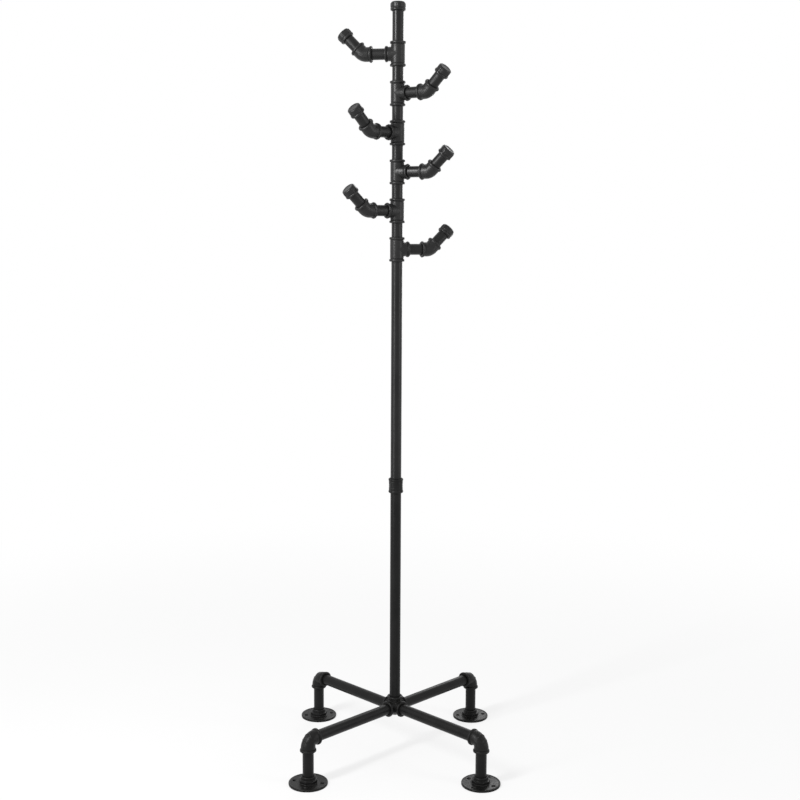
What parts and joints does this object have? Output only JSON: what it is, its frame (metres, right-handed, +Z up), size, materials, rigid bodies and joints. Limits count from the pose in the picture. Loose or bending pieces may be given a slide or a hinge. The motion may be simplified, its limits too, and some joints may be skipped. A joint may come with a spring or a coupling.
{
  "type": "standing coat rack",
  "caption": "Tall free-standing coat rack of black threaded pipe: cross-shaped base on round foot flanges, a slim pole and turnable hook arms that point up and out at staggered heights.",
  "frame": {"origin": "on the floor under the pole's axis, at the middle of the four feet", "axes": "+Z up along the pole; the legs run along the diagonals between +X, +Y, -X and -Y; -Y faces the viewer who stands in front"},
  "size_m": [0.5082, 0.5082, 1.862],
  "materials": {
    "pipe_coat": "satin black powder coat over drawn steel pipe, faint long streaks, softly shining",
    "fitting_coat": "satin black coat over cast malleable iron, finely pebbled, a little duller than the pipe"
  },
  "bodies": {
    "stand": {"base_hub": "fitting_coat", "foot_flange_1": "fitting_coat", "foot_flange_2": "fitting_coat", "foot_flange_3": "fitting_coat", "foot_flange_4": "fitting_coat", "leg_elbow_1": "fitting_coat", "leg_elbow_2": "fitting_coat", "leg_elbow_3": "fitting_coat", "leg_elbow_4": "fitting_coat", "leg_pipe_1": "pipe_coat", "leg_pipe_2": "pipe_coat", "leg_pipe_3": "pipe_coat", "leg_pipe_4": "pipe_coat", "leg_riser_1": "pipe_coat", "leg_riser_2": "pipe_coat", "leg_riser_3": "pipe_coat", "leg_riser_4": "pipe_coat", "lower_pole": "pipe_coat", "pole_coupling": "fitting_coat", "pole_nipple_1": "pipe_coat", "pole_nipple_2": "pipe_coat", "pole_nipple_3": "pipe_coat", "pole_nipple_4": "pipe_coat", "pole_nipple_5": "pipe_coat", "top_cap": "fitting_coat", "top_pipe": "pipe_coat", "upper_pole": "pipe_coat"},
    "hook_1": {"hook_tee_1": "fitting_coat", "hook_stem_1": "pipe_coat", "hook_bend_1": "fitting_coat", "hook_peg_1": "pipe_coat", "hook_cap_1": "fitting_coat"},
    "hook_2": {"hook_tee_2": "fitting_coat", "hook_stem_2": "pipe_coat", "hook_bend_2": "fitting_coat", "hook_peg_2": "pipe_coat", "hook_cap_2": "fitting_coat"},
    "hook_3": {"hook_tee_3": "fitting_coat", "hook_stem_3": "pipe_coat", "hook_bend_3": "fitting_coat", "hook_peg_3": "pipe_coat", "hook_cap_3": "fitting_coat"},
    "hook_4": {"hook_tee_4": "fitting_coat", "hook_stem_4": "pipe_coat", "hook_bend_4": "fitting_coat", "hook_peg_4": "pipe_coat", "hook_cap_4": "fitting_coat"},
    "hook_5": {"hook_tee_5": "fitting_coat", "hook_stem_5": "pipe_coat", "hook_bend_5": "fitting_coat", "hook_peg_5": "pipe_coat", "hook_cap_5": "fitting_coat"},
    "hook_6": {"hook_tee_6": "fitting_coat", "hook_stem_6": "pipe_coat", "hook_bend_6": "fitting_coat", "hook_peg_6": "pipe_coat", "hook_cap_6": "fitting_coat"}
  },
  "joints": [
    {"name": "hook_turn_1", "type": "hinge", "parent": "stand", "child": "hook_1", "pos_m": [0, 0, 1.2725], "axis": [0, 0, 1], "range_deg": [-180, 180]},
    {"name": "hook_turn_2", "type": "hinge", "parent": "stand", "child": "hook_2", "pos_m": [0, 0, 1.366], "axis": [0, 0, 1], "range_deg": [-180, 180]},
    {"name": "hook_turn_3", "type": "hinge", "parent": "stand", "child": "hook_3", "pos_m": [0, 0, 1.4595], "axis": [0, 0, 1], "range_deg": [-180, 180]},
    {"name": "hook_turn_4", "type": "hinge", "parent": "stand", "child": "hook_4", "pos_m": [0, 0, 1.553], "axis": [0, 0, 1], "range_deg": [-180, 180]},
    {"name": "hook_turn_5", "type": "hinge", "parent": "stand", "child": "hook_5", "pos_m": [0, 0, 1.6465], "axis": [0, 0, 1], "range_deg": [-180, 180]},
    {"name": "hook_turn_6", "type": "hinge", "parent": "stand", "child": "hook_6", "pos_m": [0, 0, 1.74], "axis": [0, 0, 1], "range_deg": [-180, 180]}
  ]
}
